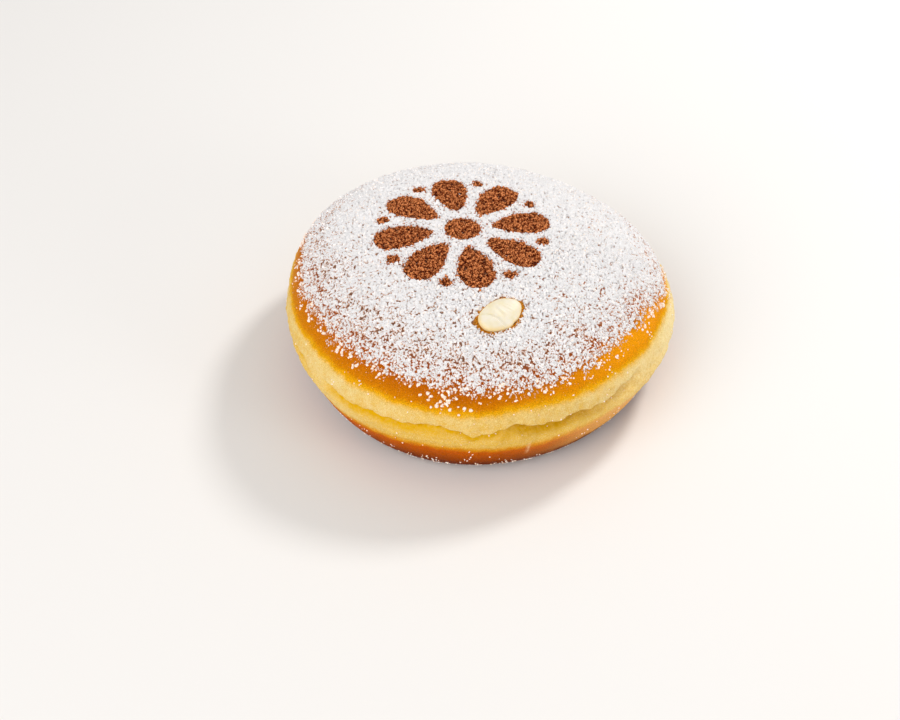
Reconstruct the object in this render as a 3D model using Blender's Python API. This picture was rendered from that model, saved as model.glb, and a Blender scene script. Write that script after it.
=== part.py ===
"""Filled round doughnut, resting on z = 0 with the origin under its middle. Metres, +Z up.

The dough is one solid: a broad low dome with a browned top, a pale band round its waist that is folded into an
upper and a lower roll, and a lower crust that draws in to a flat foot. A dab of cream closes the hole in its top.
The front of the doughnut, where the cream is nearest, faces -Y."""

import math

import bmesh
import bpy
from mathutils import Matrix, Vector, noise

MM = 0.001

# Overall size.
WIDTH = 100.0 * MM
HEIGHT = 39.0 * MM
WAIST_HEIGHT = 14.75 * MM  # where the dough is widest
FOOT_SHARE = 0.764  # radius of the flat foot as a share of the widest radius

# Profile of the dome and of the side below the waist.
DOME_RISE = 1.85
DOME_SQUARENESS = 3.02
UNDERSIDE_RISE = 1.03
UNDERSIDE_ROUNDNESS = 1.915

# Plan outline: how far it leaves a circle, as (waves round the rim, cosine share, sine share).
PLAN_WAVES = (
    (2, 0.0076, 0.0),
    (3, 0.0167, 0.0096),
    (4, -0.0026, 0.0007),
    (5, 0.0025, 0.0014),
    (6, -0.0008, 0.0017),
)
LEAN = (-0.0241, -0.0326)  # rise of the waist per metre along X and Y
FOOT_OFFSET = (0.59 * MM, -2.38 * MM)  # the foot isn't quite under the waist
TOP_OFFSET = (-1.88 * MM, 3.79 * MM)
CENTRE_SHIFT = (-1.05 * MM, 0.24 * MM)  # puts the middle of the outline over the origin

# Folds of the pale band: middle and half length in degrees from +X, height, lift near the start, depth, and how
# much the fold climbs from its middle to its end.
FOLDS = (
    (241, 22, 16.85 * MM, 0.6 * MM, 1.4 * MM, -0.2 * MM),
    (264, 10, 17.0 * MM, 0.3 * MM, 0.9 * MM, 0.0),
    (299, 27, 16.75 * MM, 2.4 * MM, 2.0 * MM, 2.6 * MM),
    (4, 25, 17.0 * MM, -1.2 * MM, 1.0 * MM, 0.0),
    (62, 36, 16.0 * MM, 1.6 * MM, 1.5 * MM, 0.0),
    (128, 33, 16.8 * MM, 1.0 * MM, 1.2 * MM, 0.0),
    (190, 25, 16.6 * MM, -0.8 * MM, 0.7 * MM, 0.0),
)
LIFT_PLACE = 0.76  # how far before its middle a fold is lifted, as a share of its half length
LIFT_REACH = 0.25  # and over which share of it
END_SHARE = 0.40  # share of its half length over which a fold fades at each end
FOLD_WAVE = 0.35 * MM  # how far a fold wanders up and down
WAVES_PER_TURN = 9
FOLD_ABOVE = 1.3 * MM  # reach of the fold's upper lip
FOLD_BELOW = 2.8 * MM
ROLL_HEIGHTS = (13.0 * MM, 19.9 * MM)  # the band swells into a lower and an upper roll
ROLL_REACH = 2.3 * MM
ROLL_BULGE = 0.25 * MM

# Places where the side stands out or in: (middle in degrees, width in degrees, height, reach in height, amount).
PLACES = ((0, 16, 12.0 * MM, 6.0 * MM, 0.5 * MM), (15, 16, 24.0 * MM, 6.0 * MM, -0.4 * MM))

# Unevenness of the whole surface.
LUMP_SIZE = 19.0 * MM
LUMP_DEPTH = 0.40 * MM
LUMP_SEED = Vector((14.4, 9.1, 1.1))

# Rows of the surface, from the foot up.
SEGMENTS = 108
FOOT_ROWS = 3
UNDERSIDE_ROWS = 9
BAND_ROWS = 12
BAND_LOW = 10.0 * MM
BAND_HIGH = 22.6 * MM
SIDE_ROWS = 7
DOME_START = 0.86  # share of the radius where the dome's rings begin
DOME_ROWS = 9

# The cream and its hole, in the plane of the dough's skin.
CREAM_X = 4.4 * MM
CREAM_Y = -27.1 * MM
CREAM_TURN = math.radians(38)
CREAM_HALF_LENGTH = 5.7 * MM
CREAM_HALF_WIDTH = 3.75 * MM
CREAM_PROUD = 1.5 * MM
CREAM_DEPTH = 5.0 * MM
CREAM_POINT = 0.05  # how much its left end narrows
CREAM_FOLD = 0.30 * MM  # step between its two folds
CREAM_SEGMENTS = 36
CREAM_RINGS = 20
GAP = 0.3 * MM
HOLE_CLEARANCE = 5.0 * MM  # how far the cutter stands above the skin


def clear_scene():
    for obj in list(bpy.data.objects):
        bpy.data.objects.remove(obj)


def smooth_step(value, low, high):
    t = min(1.0, max(0.0, (value - low) / (high - low)))
    return t * t * (3 - 2 * t)


def plan_radius(angle):
    share = 1.0
    for waves, cosine, sine in PLAN_WAVES:
        share += cosine * math.cos(waves * angle) + sine * math.sin(waves * angle)
    return WIDTH / 2 * share


def radius_share(height):
    """Radius of the plain profile at a height, as a share of the widest radius."""
    if height >= WAIST_HEIGHT:
        up = min(1.0, (height - WAIST_HEIGHT) / (HEIGHT - WAIST_HEIGHT))
        return (1 - up**DOME_RISE) ** (1 / DOME_SQUARENESS)
    down = (WAIST_HEIGHT - height) / WAIST_HEIGHT
    return FOOT_SHARE + (1 - FOOT_SHARE) * (1 - down**UNDERSIDE_RISE) ** (1 / UNDERSIDE_ROUNDNESS)


def dome_height(share):
    """Height of the plain profile above the waist, at a share of the widest radius."""
    up = (1 - min(1.0, share) ** DOME_SQUARENESS) ** (1 / DOME_RISE)
    return WAIST_HEIGHT + up * (HEIGHT - WAIST_HEIGHT)


def fold_depth(angle, height):
    """How far the folds of the band pull the surface in."""
    total = 0.0
    for middle, half, level, lift, depth, slope in FOLDS:
        away = (math.degrees(angle) - middle + 180) % 360 - 180
        along = smooth_step(half - abs(away), 0, END_SHARE * half)
        line = level + lift * math.exp(-(((away / half + LIFT_PLACE) / LIFT_REACH) ** 2))
        line += slope * away / half + FOLD_WAVE * math.sin(WAVES_PER_TURN * angle)
        reach = FOLD_ABOVE if height > line else FOLD_BELOW
        total = max(total, along * depth * math.exp(-(((height - line) / reach) ** 2)))
    return total


def side_bulge(angle, height):
    """How far the rolls and the uneven places push the side out."""
    total = sum(ROLL_BULGE * math.exp(-(((height - middle) / ROLL_REACH) ** 2)) for middle in ROLL_HEIGHTS)
    for middle, width, level, reach, amount in PLACES:
        away = (math.degrees(angle) - middle + 180) % 360 - 180
        total += amount * math.exp(-((away / width) ** 2) - ((height - level) / reach) ** 2)
    return total


def surface_point(angle, share, height):
    """A point of the dough's surface from its place on the plain profile."""
    radius = plan_radius(angle) * share
    if share > 0:
        radius += side_bulge(angle, height) - fold_depth(angle, height)
    down = max(0.0, 1 - height / WAIST_HEIGHT) ** 1.5
    up = max(0.0, height - WAIST_HEIGHT) / (HEIGHT - WAIST_HEIGHT)
    x = radius * math.cos(angle) + FOOT_OFFSET[0] * down + TOP_OFFSET[0] * up
    y = radius * math.sin(angle) + FOOT_OFFSET[1] * down + TOP_OFFSET[1] * up
    lean = min(1.0, height / WAIST_HEIGHT)
    z = height + lean * (LEAN[0] * x + LEAN[1] * y)
    point = Vector((x, y, z))
    lump = LUMP_DEPTH * noise.noise(point / LUMP_SIZE + LUMP_SEED) * smooth_step(height, 0, WAIST_HEIGHT)
    outward = Vector((x, y, 0.8 * max(0.0, z - WAIST_HEIGHT))).normalized()
    point += outward * lump
    point.x += CENTRE_SHIFT[0]
    point.y += CENTRE_SHIFT[1]
    return point


def profile_rows():
    """(share of the radius, height) of each ring, from the foot's first ring to the last below the top."""
    rows = []
    for i in range(1, FOOT_ROWS):
        rows.append((FOOT_SHARE * i / FOOT_ROWS, 0.0))
    for i in range(UNDERSIDE_ROWS):
        height = BAND_LOW * (i / UNDERSIDE_ROWS) ** 1.7
        rows.append((radius_share(height), height))
    for i in range(BAND_ROWS):
        height = BAND_LOW + (BAND_HIGH - BAND_LOW) * i / BAND_ROWS
        rows.append((radius_share(height), height))
    dome_start = dome_height(DOME_START)
    for i in range(SIDE_ROWS):
        height = BAND_HIGH + (dome_start - BAND_HIGH) * i / SIDE_ROWS
        rows.append((radius_share(height), height))
    for i in range(DOME_ROWS):
        share = DOME_START * (1 - i / DOME_ROWS)
        rows.append((share, dome_height(share)))
    return rows


def ring_faces(bm, lower, upper):
    for i in range(len(lower)):
        j = (i + 1) % len(lower)
        bm.faces.new((lower[i], lower[j], upper[j], upper[i]))


def fan_faces(bm, ring, tip, upward):
    for i in range(len(ring)):
        j = (i + 1) % len(ring)
        corners = (ring[i], ring[j], tip) if upward else (ring[j], ring[i], tip)
        bm.faces.new(corners)


def object_from(bm, name, colour, roughness):
    bmesh.ops.recalc_face_normals(bm, faces=bm.faces)
    mesh = bpy.data.meshes.new(name)
    bm.to_mesh(mesh)
    bm.free()
    mesh.shade_smooth()
    obj = bpy.data.objects.new(name, mesh)
    bpy.context.scene.collection.objects.link(obj)
    material = bpy.data.materials.new(name)
    material.use_nodes = True
    shader = material.node_tree.nodes["Principled BSDF"]
    shader.inputs["Base Color"].default_value = (*colour, 1.0)
    shader.inputs["Roughness"].default_value = roughness
    shader.inputs["Metallic"].default_value = 0.0
    material.diffuse_color = (*colour, 1.0)
    mesh.materials.append(material)
    return obj


def make_dough():
    bm = bmesh.new()
    rings = []
    for share, height in profile_rows():
        ring = []
        for i in range(SEGMENTS):
            angle = 2 * math.pi * i / SEGMENTS
            ring.append(bm.verts.new(surface_point(angle, share, height)))
        rings.append(ring)
    for lower, upper in zip(rings, rings[1:]):
        ring_faces(bm, lower, upper)
    foot_middle = bm.verts.new(surface_point(0, 0, 0.0))
    fan_faces(bm, rings[0], foot_middle, False)
    top_middle = bm.verts.new(surface_point(0, 0, HEIGHT))
    fan_faces(bm, rings[-1], top_middle, True)
    return object_from(bm, "dough", (0.72, 0.38, 0.11), 0.55)


def skin_frame(x, y):
    """The skin's own axes at a place on the dome: length and width along the skin, then straight out of it."""
    step = 1.0 * MM

    def skin(px, py):
        angle = math.atan2(py - TOP_OFFSET[1], px - TOP_OFFSET[0])
        share = math.hypot(py - TOP_OFFSET[1], px - TOP_OFFSET[0]) / plan_radius(angle)
        return surface_point(angle, share, dome_height(share))

    along = skin(x + step, y) - skin(x - step, y)
    across = skin(x, y + step) - skin(x, y - step)
    out = along.cross(across).normalized()
    length = Vector((math.cos(CREAM_TURN), math.sin(CREAM_TURN), 0))
    length = (length - out * length.dot(out)).normalized()
    width = out.cross(length)
    axes = Matrix((length, width, out)).transposed().to_4x4()
    return Matrix.Translation(skin(x, y)) @ axes


def oval_ball(bm, grow, top, bottom):
    """A ball squashed to the cream's oval, one end drawn in, with its own height above and below the skin."""
    made = bmesh.ops.create_uvsphere(bm, u_segments=CREAM_SEGMENTS, v_segments=CREAM_RINGS, radius=1.0)
    for vert in made["verts"]:
        x, y, z = vert.co
        narrow = 1 - CREAM_POINT * max(0.0, -x)
        vert.co.x = x * (CREAM_HALF_LENGTH + grow)
        vert.co.y = y * (CREAM_HALF_WIDTH * narrow + grow)
        vert.co.z = z * (top if z > 0 else bottom)
    return made["verts"]


def make_cream(place):
    bm = bmesh.new()
    for vert in oval_ball(bm, 0.0, CREAM_PROUD, CREAM_DEPTH):
        if vert.co.z > 0:
            covered = vert.co.z / CREAM_PROUD
            line = vert.co.x + 0.6 * vert.co.y + 1.3 * MM
            vert.co.z -= covered * CREAM_FOLD * math.tanh(line / (0.7 * MM))
    bmesh.ops.transform(bm, matrix=place, verts=bm.verts)
    return object_from(bm, "cream", (0.91, 0.82, 0.52), 0.32)


def cut_hole(dough, place):
    bm = bmesh.new()
    oval_ball(bm, GAP, HOLE_CLEARANCE, CREAM_DEPTH + GAP)
    bmesh.ops.transform(bm, matrix=place, verts=bm.verts)
    cutter = object_from(bm, "hole_cutter", (0.5, 0.5, 0.5), 0.5)
    cutter.hide_render = True
    cutter.display_type = "WIRE"
    cut = dough.modifiers.new("cream_hole", "BOOLEAN")
    cut.operation = "DIFFERENCE"
    cut.solver = "EXACT"
    cut.object = cutter


clear_scene()
dough = make_dough()
cream_place = skin_frame(CREAM_X, CREAM_Y)
make_cream(cream_place)
cut_hole(dough, cream_place)
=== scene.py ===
# %% [markdown]
# # A filled doughnut under powdered sugar
#
# The doughnut is one piece of fried dough, browned above and below with a pale band between, closed by a
# dab of cream and dusted with sugar and cocoa. The solids of the dough and the cream come from the
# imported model. This lesson gives them their finish, and lays the powders over them as real, thin relief.

import math

import bpy
import numpy as np
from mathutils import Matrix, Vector, noise


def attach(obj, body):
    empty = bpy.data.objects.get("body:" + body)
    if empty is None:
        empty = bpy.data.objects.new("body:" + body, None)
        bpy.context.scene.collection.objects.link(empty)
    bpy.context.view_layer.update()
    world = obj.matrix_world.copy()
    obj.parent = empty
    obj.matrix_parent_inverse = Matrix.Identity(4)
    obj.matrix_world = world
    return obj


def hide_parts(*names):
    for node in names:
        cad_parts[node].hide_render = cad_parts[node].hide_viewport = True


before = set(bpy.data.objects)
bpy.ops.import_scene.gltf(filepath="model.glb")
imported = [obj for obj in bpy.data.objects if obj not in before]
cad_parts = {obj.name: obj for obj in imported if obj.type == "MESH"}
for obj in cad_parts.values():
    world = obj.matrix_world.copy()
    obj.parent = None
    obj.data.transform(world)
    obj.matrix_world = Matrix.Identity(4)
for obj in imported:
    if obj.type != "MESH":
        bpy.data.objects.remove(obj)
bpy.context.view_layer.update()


# %% [markdown]
# ## The form of the dough
#
# The skin follows a rule, so every layer here can lie on the same surface: a plain
# profile is turned round a slightly uneven outline, leans a little, and is pulled
# in by the folds of the pale band. Almost all of these sizes also made the solid, which
# has a plainer fold at the front. numpy works on all points at once, because the layers
# need several hundred thousand.

# %% The doughnut's own sizes
MM = 0.001
WIDTH = 100.0 * MM
HEIGHT = 39.0 * MM
WAIST_HEIGHT = 14.75 * MM
FOOT_SHARE = 0.764
DOME_RISE = 1.85
DOME_SQUARENESS = 3.02
UNDERSIDE_RISE = 1.03
UNDERSIDE_ROUNDNESS = 1.915
PLAN_WAVES = (  # waves per turn, with the shares of their cosine and sine
    (2, 0.0076, 0.0),
    (3, 0.0167, 0.0096),
    (4, -0.0026, 0.0007),
    (5, 0.0025, 0.0014),
    (6, -0.0008, 0.0017),
)
LEAN = (-0.0241, -0.0326)  # rise per metre along x and y
FOOT_OFFSET = (0.59 * MM, -2.38 * MM)
TOP_OFFSET = (-1.88 * MM, 3.79 * MM)
CENTRE_SHIFT = (-1.05 * MM, 0.24 * MM)
LUMP_SIZE = 19.0 * MM
LUMP_DEPTH = 0.40 * MM
LUMP_SEED = Vector((14.4, 9.1, 1.1))
SUGAR_BED = 0.50 * MM  # the skin lies this much lower under the sugar, which fills it up again
SUGAR_BED_HEIGHTS = (24 * MM, 31 * MM)


def smooth_step(value, low, high):
    """0 up to low, 1 from high on, and a smooth rise between."""
    t = np.clip((value - low) / (high - low), 0, 1)
    return t * t * (3 - 2 * t)


def turned_from(angle, degrees):
    """How far an angle is turned from a direction, in degrees from -180 to 180."""
    return (np.degrees(angle) - degrees + 180) % 360 - 180


def hump(away, width):
    """1 in the middle, falling off to 0 on both sides."""
    return np.exp(-((away / width) ** 2))


def facing(angle, degrees, width):
    """1 where an angle faces a direction in degrees, falling off over a width in degrees."""
    return hump(turned_from(angle, degrees), width)


def rough(points, size, seed=0.0):
    """Soft noise, about -1 to 1, at each point; its bumps are about as wide as size."""
    scaled = np.asarray(points) / size + seed
    return np.array([noise.noise(p) for p in scaled.tolist()])


def plan_radius(angle):
    """Radius of the uneven outline, as seen from above, by angle."""
    share = 1.0
    for waves, cosine, sine in PLAN_WAVES:
        share = share + cosine * np.cos(waves * angle) + sine * np.sin(waves * angle)
    return WIDTH / 2 * share


def radius_share(height):
    """Share of the outline's radius that the profile reaches at a height."""
    up = np.clip((height - WAIST_HEIGHT) / (HEIGHT - WAIST_HEIGHT), 0, 1)
    down = np.clip((WAIST_HEIGHT - height) / WAIST_HEIGHT, 0, 1)
    dome = (1 - up**DOME_RISE) ** (1 / DOME_SQUARENESS)
    under = FOOT_SHARE + (1 - FOOT_SHARE) * (1 - down**UNDERSIDE_RISE) ** (1 / UNDERSIDE_ROUNDNESS)
    return np.where(height >= WAIST_HEIGHT, dome, under)


# %% [markdown]
# The pale band is where the dough floated above the oil. It is rolled into an upper and a lower
# lip, with a fold between that comes and goes round the side. Each fold is a groove with a sharp,
# slightly ragged upper lip that droops over it. At the front the folds dip and meet in a shallow V.

# %% Folds and rolls of the pale band
# Each fold: middle and half length in degrees; level, lift, depth, slope and reach of its painted shade in
# mm.
FOLDS = (
    (241, 22, 16.85, 0.6, 1.4, -0.2, 1.4),
    (266, 13, 17.0, 0.3, 1.0, 0.0, 0.8),
    (299, 27, 16.75, 2.4, 2.0, 2.6, 1.5),
    (4, 25, 17.0, -1.2, 1.0, 0.0, 0.9),
    (62, 36, 16.0, 1.6, 1.5, 0.0, 1.2),
    (128, 33, 16.8, 1.0, 1.2, 0.0, 1.0),
    (190, 25, 16.6, -0.8, 0.7, 0.0, 0.7),
)
RAGGED_WAVES = ((0.22, 23, 1), (0.16, 41, 2), (0.12, 71, 0))  # height in mm, waves per turn, start
DIP_ANGLES = (236, 240, 249, 259, 264, 268, 272, 276, 281, 290, 295, 301, 306, 312)
DIP_SHIFTS = (0.0, 0.6, -0.2, 1.1, 0.1, -1.3, -0.4, 0.9, 0.8, 0.9, 0.9, 0.6, 0.2, 0.0)
LIFT_PLACE = 0.76
LIFT_REACH = 0.25
END_SHARE = 0.40
FOLD_WAVE = 0.35 * MM
WAVES_PER_TURN = 9
FOLD_ABOVE = 0.42 * MM
FOLD_BELOW = 2.8 * MM
ROLL_HEIGHTS = (13.0 * MM, 19.9 * MM)
ROLL_REACH = 2.3 * MM
ROLL_BULGE = 0.25 * MM
LIP_DROOP = 0.9 * MM  # for a fold as deep as DEEP_FOLD
LIP_ABOVE = 1.0 * MM
LIP_REACH = 0.9 * MM
DEEP_FOLD = 2.0 * MM
HIDDEN_SHARE = 0.85  # share of a fold's depth that its upper lip hides from above
# The painted shade of a fold's groove reaches this far above its line, further on the left, and is full for
# a fold this deep.
SHADE_ABOVE = 0.3 * MM  # reach of a fold's colour above its line
SHADE_WIDER = 0.6 * MM  # and how much further it reaches on the left
FULL_SHADE = 1.0 * MM
# Each uneven place: direction and width in degrees, then height, reach and bulge.
PLACES = ((0, 16, 12.0 * MM, 6.0 * MM, 0.5 * MM), (15, 16, 24.0 * MM, 6.0 * MM, -0.4 * MM))


def folds_at(angle, height):
    """Depth of the folds, how far their upper lip droops, and how much of their painted shade shows, 0 to
    1.
    """
    depth_here = np.zeros(np.broadcast(angle, height).shape)
    droop = np.zeros_like(depth_here)
    shade = np.zeros_like(depth_here)
    ragged = MM * sum(high * np.sin(waves * angle + start) for high, waves, start in RAGGED_WAVES)
    ragged = ragged + MM * np.interp(np.degrees(angle) % 360, DIP_ANGLES, DIP_SHIFTS)
    for middle, half, *sizes in FOLDS:
        level, lift, depth, slope, shade_reach = (MM * size for size in sizes)
        away = turned_from(angle, middle)
        along = smooth_step(half - np.abs(away), 0, END_SHARE * half)
        line = level + lift * hump(away / half + LIFT_PLACE, LIFT_REACH)
        line = line + slope * away / half + FOLD_WAVE * np.sin(WAVES_PER_TURN * angle) + ragged
        reach = np.where(height > line, FOLD_ABOVE, FOLD_BELOW)
        depth_here = np.maximum(depth_here, along * depth * hump(height - line, reach))
        lip = hump(height - line - LIP_ABOVE, LIP_REACH)
        droop = np.maximum(droop, along * lip * LIP_DROOP * depth / DEEP_FOLD)
        # Painted shade fills the groove below the part the lip hides, and fades above the line.
        under = np.clip(line - HIDDEN_SHARE * depth - height, 0, None) / shade_reach
        over = np.clip(height - line, 0, None) / (SHADE_ABOVE + SHADE_WIDER * facing(angle, 232, 8))
        strong = min(1.0, depth / FULL_SHADE)
        shade = np.maximum(shade, strong * along**0.6 * np.exp(-(under**2) - over**2))
    return depth_here, droop, shade


def side_bulge(angle, height):
    """How far the rolls and the uneven places push the side out."""
    total = sum(ROLL_BULGE * hump(height - middle, ROLL_REACH) for middle in ROLL_HEIGHTS)
    for middle, width, level, reach, amount in PLACES:
        away = turned_from(angle, middle)
        total = total + amount * np.exp(-((away / width) ** 2) - ((height - level) / reach) ** 2)
    return total


def skin(angle, share, height, droop_share=0.0):
    """Points of the dough's skin, for arrays of angle, share of the radius and height on the profile."""
    bulge = side_bulge(angle, height)
    depth, droop, _ = folds_at(angle, height)
    radius = plan_radius(angle) * share + np.where(share > 0, bulge - depth, 0)
    down = np.clip(1 - height / WAIST_HEIGHT, 0, 1) ** 1.5
    up = np.clip(height - WAIST_HEIGHT, 0, None) / (HEIGHT - WAIST_HEIGHT)
    x = radius * np.cos(angle) + FOOT_OFFSET[0] * down + TOP_OFFSET[0] * up
    y = radius * np.sin(angle) + FOOT_OFFSET[1] * down + TOP_OFFSET[1] * up
    z = height + np.clip(height / WAIST_HEIGHT, 0, 1) * (LEAN[0] * x + LEAN[1] * y)
    points = np.stack([x, y, z], axis=-1)
    lumps = rough(points.reshape(-1, 3), LUMP_SIZE, np.array(LUMP_SEED)).reshape(x.shape)
    lumps = lumps * LUMP_DEPTH * smooth_step(height, 0, WAIST_HEIGHT)
    outward = np.stack([x, y, 0.8 * np.clip(z - WAIST_HEIGHT, 0, None)], axis=-1)
    outward /= np.maximum(np.linalg.norm(outward, axis=-1, keepdims=True), 1e-9)
    under_sugar = SUGAR_BED * smooth_step(height, *SUGAR_BED_HEIGHTS)
    points = points + outward * (lumps - under_sugar)[..., None]
    points[..., :2] += CENTRE_SHIFT
    points[..., 2] -= droop_share * droop
    return points


# %% [markdown]
# Layers on a round form need evenly spread points, so the profile is measured along its own length,
# from the middle of the foot to the middle of the top.

# %% The profile by its length
PROFILE_STEPS = 3000
fine = np.linspace(0, 1, PROFILE_STEPS)
table_share = np.concatenate([FOOT_SHARE * fine, radius_share(WAIST_HEIGHT * fine**2)])
table_height = np.concatenate([0 * fine, WAIST_HEIGHT * fine**2])
dome_heights = WAIST_HEIGHT + (HEIGHT - WAIST_HEIGHT) * (1 - (1 - fine) ** 3)
table_share = np.concatenate([table_share, radius_share(dome_heights)])
table_height = np.concatenate([table_height, dome_heights])
steps = np.hypot(np.diff(WIDTH / 2 * table_share), np.diff(table_height))
table_length = np.concatenate([[0], np.cumsum(steps)])
TOP_LENGTH = table_length[-1]


def profile_at(length):
    """(share of the radius, height) at a length along the profile."""
    return np.interp(length, table_length, table_share), np.interp(length, table_length, table_height)


def length_at(height):
    return float(np.interp(height, table_height[PROFILE_STEPS:], table_length[PROFILE_STEPS:]))


waist_length = length_at(WAIST_HEIGHT)
print("profile from foot to top:", round(TOP_LENGTH / MM, 1), "mm; waist at", round(waist_length / MM, 1))

# %% [markdown]
# Two helpers are used all through: one makes a mesh object from points
# and faces, with values that a material reads stored on its points,
# and one adds a node, its settings and its links to the tree in hand.

# %% Helpers for meshes and nodes
def in_scene(name, data):
    obj = bpy.data.objects.new(name, data)
    bpy.context.scene.collection.objects.link(obj)
    return obj


def mesh_piece(name, points, faces, values=None):
    """A mesh object in the scene, with values stored on its points under their names."""
    mesh = bpy.data.meshes.new(name)
    mesh.from_pydata(points.tolist(), [], faces.tolist())
    for key, numbers in (values or {}).items():
        layer = mesh.attributes.new(key, "FLOAT", "POINT")
        layer.data.foreach_set("value", np.asarray(numbers, np.float32).ravel())
    mesh.shade_smooth()
    mesh.update()
    return in_scene(name, mesh)


def closed_rings(number, low_pole, high_pole):
    """Triangles over a grid of points numbered ring by ring, closed by a pole at each end."""
    turned = np.roll(number, -1, 1)
    quads = np.stack([number[:-1], turned[:-1], turned[1:], number[1:]], -1).reshape(-1, 4)
    low_fan = np.stack([turned[0], number[0], np.full_like(number[0], low_pole)], -1)
    high_fan = np.stack([number[-1], turned[-1], np.full_like(number[0], high_pole)], -1)
    return np.concatenate([quads[:, :3], quads[:, [0, 2, 3]], low_fan, high_fan])


class Bench:
    tree = None  # the node tree in hand, to which the functions below add


def add(kind, inputs=None, **settings):
    """A new node; an input that is a socket gets a link, any other becomes its value."""
    node = Bench.tree.nodes.new(kind)
    for key, value in settings.items():
        setattr(node, key, value)
    for key, value in (inputs or {}).items():
        if isinstance(value, bpy.types.NodeSocket):
            Bench.tree.links.new(value, node.inputs[key])
        else:
            node.inputs[key].default_value = value
    return node


def maths(operation, *values):
    return add("ShaderNodeMath", dict(enumerate(values)), operation=operation).outputs[0]


def times(first, second):
    return maths("MULTIPLY", first, second)


def times_plus(first, second, third):
    return maths("MULTIPLY_ADD", first, second, third)


def vector_maths(operation, first, second):
    key = "Scale" if operation == "SCALE" else 1
    return add("ShaderNodeVectorMath", {0: first, key: second}, operation=operation).outputs[0]


def soft_noise(place, size, detail, roughness=0.5, output="Fac"):
    """Noise at a place, 0 to 1, with features about as wide as size."""
    values = {"Vector": place, "Scale": 1 / size, "Detail": detail, "Roughness": roughness}
    return add("ShaderNodeTexNoise", values).outputs[output]


def srgb(*shown):
    """A colour as a screen shows it, 0 to 255, in the linear values that a shader reads."""
    linear = [((v / 255 + 0.055) / 1.055) ** 2.4 if v > 10 else v / 255 / 12.92 for v in shown]
    return (*linear, 1.0)


# %% [markdown]
# ## Floor, light and camera
#
# The camera looks down steeply from the front. A small key light stands behind on the right, a low one
# at the front right grazes the band, and a wide one fills the front from the left. A pale surround
# keeps every shadow open.

# %% Floor, lights and camera
CAMERA_PLACE = (-8.33 * MM, -302.82 * MM, 282.2 * MM)
CAMERA_PITCH = math.radians(43.4)
LENS = 62.04
SURROUND_STRENGTH = 0.52
FLOOR_HALF = 2.0
FLOOR_BELOW = 0.2 * MM
LIT_POINT = Vector((0, 0, 15 * MM))

camera_data = bpy.data.cameras.new("camera")
camera_data.lens = LENS
camera_data.sensor_width = 36.0
camera_data.clip_start = 0.01
camera = in_scene("camera", camera_data)
camera.location = CAMERA_PLACE
camera.rotation_euler = (math.pi / 2 - CAMERA_PITCH, 0, 0)
bpy.context.scene.camera = camera


def soft_light(name, place, size, power, colour):
    data = bpy.data.lights.new(name, "AREA")
    data.shape = "DISK"
    data.size = size
    data.energy = power
    data.color = colour
    light = in_scene(name, data)
    light.location = place
    aim = LIT_POINT - Vector(place)
    light.rotation_euler = aim.to_track_quat("-Z", "Y").to_euler()


soft_light("key", (0.36, 0.38, 0.50), 0.14, 2.6, (1.0, 0.985, 0.96))
soft_light("side", (0.58, -0.36, 0.20), 0.30, 1.0, (1.0, 0.99, 0.97))
soft_light("fill", (-0.50, -0.56, 0.50), 0.90, 5.5, (1.0, 0.99, 0.98))

world = bpy.data.worlds.new("surround")
world.use_nodes = True
surround = world.node_tree.nodes["Background"]
surround.inputs["Color"].default_value = (1.0, 1.0, 1.0, 1.0)
surround.inputs["Strength"].default_value = SURROUND_STRENGTH
bpy.context.scene.world = world
bpy.context.scene.view_settings.view_transform = "Standard"


def new_material(name, roughness, specular=0.5):
    """A material and its shader; its tree is taken in hand."""
    material = bpy.data.materials.new(name)
    material.use_nodes = True
    Bench.tree = material.node_tree
    shader = Bench.tree.nodes["Principled BSDF"]
    shader.inputs["Roughness"].default_value = roughness
    shader.inputs["Specular IOR Level"].default_value = specular
    return material, shader


corners = FLOOR_HALF * np.array([(-1, -1, 0), (1, -1, 0), (1, 1, 0), (-1, 1, 0)], float)
corners[:, 2] = -FLOOR_BELOW
floor = mesh_piece("floor", corners, np.array([[0, 1, 2, 3]]))
floor_material, shader = new_material("floor", 0.65)
shader.inputs["Base Color"].default_value = (0.80, 0.78, 0.76, 1.0)
floor.data.materials.append(floor_material)


# %% [markdown]
# ## The dough
#
# The skin is a closed grid of rings, and the hole for the cream is pressed
# into its dome with a thin torn lip round it. The hole is found first: its
# middle, and the directions out of the dough, along the oval and across.

# %% The cream's place on the dome
CREAM_X = 4.4 * MM
CREAM_Y = -27.1 * MM
CREAM_TURN = math.radians(38)
CREAM_HALF_LENGTH = 5.7 * MM
CREAM_HALF_WIDTH = 3.75 * MM
CREAM_POINT = 0.05
CREAM_RAISED = 0.75  # share of the sugar's bed by which the cream stands above the skin


def dome_skin(x, y):
    """Skin points of the dome, for arrays of x and y seen from above."""
    angle = np.arctan2(y - TOP_OFFSET[1], x - TOP_OFFSET[0])
    share = np.hypot(y - TOP_OFFSET[1], x - TOP_OFFSET[0]) / plan_radius(angle)
    up = (1 - np.clip(share, 0, 1) ** DOME_SQUARENESS) ** (1 / DOME_RISE)
    return skin(angle, share, WAIST_HEIGHT + up * (HEIGHT - WAIST_HEIGHT))


step = 1.0 * MM  # far enough to smooth out the skin's own unevenness
beside = dome_skin(
    np.array([CREAM_X, CREAM_X + step, CREAM_X - step, CREAM_X, CREAM_X]),
    np.array([CREAM_Y, CREAM_Y, CREAM_Y, CREAM_Y + step, CREAM_Y - step]),
)
cream_out = np.cross(beside[1] - beside[2], beside[3] - beside[4])
cream_out /= np.linalg.norm(cream_out)
cream_middle = beside[0] + CREAM_RAISED * SUGAR_BED * cream_out
cream_length = np.array([math.cos(CREAM_TURN), math.sin(CREAM_TURN), 0])
cream_length -= cream_out * cream_length.dot(cream_out)
cream_length /= np.linalg.norm(cream_length)
cream_width = np.cross(cream_out, cream_length)


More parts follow.
